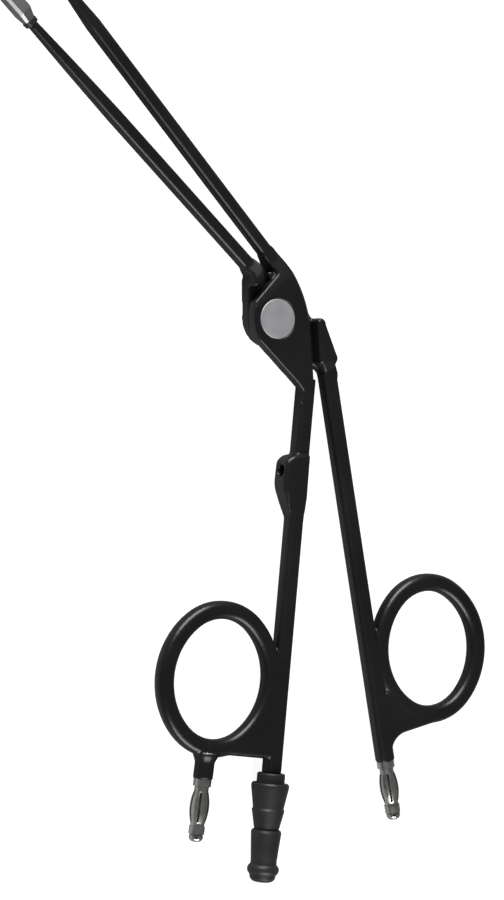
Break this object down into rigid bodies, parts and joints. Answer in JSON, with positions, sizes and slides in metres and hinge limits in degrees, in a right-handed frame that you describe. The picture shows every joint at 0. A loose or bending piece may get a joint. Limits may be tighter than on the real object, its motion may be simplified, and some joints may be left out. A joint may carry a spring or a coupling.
{
  "type": "bipolar clamp",
  "caption": "Ring-handled surgical clamp with two insulated branches on a lap joint, angled slim jaws with bare electrodes, pin contacts and a side socket.",
  "frame": {"origin": "on the pivot axis, in the plane of the joint's flat back face", "axes": "+Z along the pivot axis to the side of the pin's head, +Y from the handles to the jaws, +X to the right seen from the head's side"},
  "size_m": [0.1507, 0.2383, 0.0096],
  "materials": {
    "coat": "smooth black insulating coat with a soft gloss",
    "steel": "machined stainless steel under the coat",
    "electrode": "satin bare steel with fine machining marks",
    "collar": "dark insulating collar",
    "stud": "glazed off-white ceramic",
    "pivot": "turned satin face with a bright rim",
    "bushing": "plain moulded bearing plastic",
    "washer": "smooth slippery plastic sheet",
    "contact": "bright nickel plate",
    "boot": "matt black rubber"
  },
  "bodies": {
    "rear_branch": {"rear_core": "steel", "rear_coat": "coat", "rear_electrode": "electrode", "rear_tip_collar": "collar", "rear_bushing": "bushing", "rear_contact_pin": "contact", "rear_contact_cage": "contact", "rear_contact_tip": "contact"},
    "front_branch": {"front_core": "steel", "front_coat": "coat", "front_electrode": "electrode", "front_tip_collar": "collar", "spacer_studs": "stud", "pivot_pin": "pivot", "pivot_collar": "pivot", "front_bushing": "bushing", "lap_washer": "washer", "front_contact_pin": "contact", "front_contact_cage": "contact", "front_contact_tip": "contact", "tail_boot": "boot"}
  },
  "joints": [
    {"name": "pivot", "type": "hinge", "parent": "rear_branch", "child": "front_branch", "pos_m": [0, 0, 0], "axis": [0, 0, 1], "range_deg": [-25, 4.72]}
  ]
}
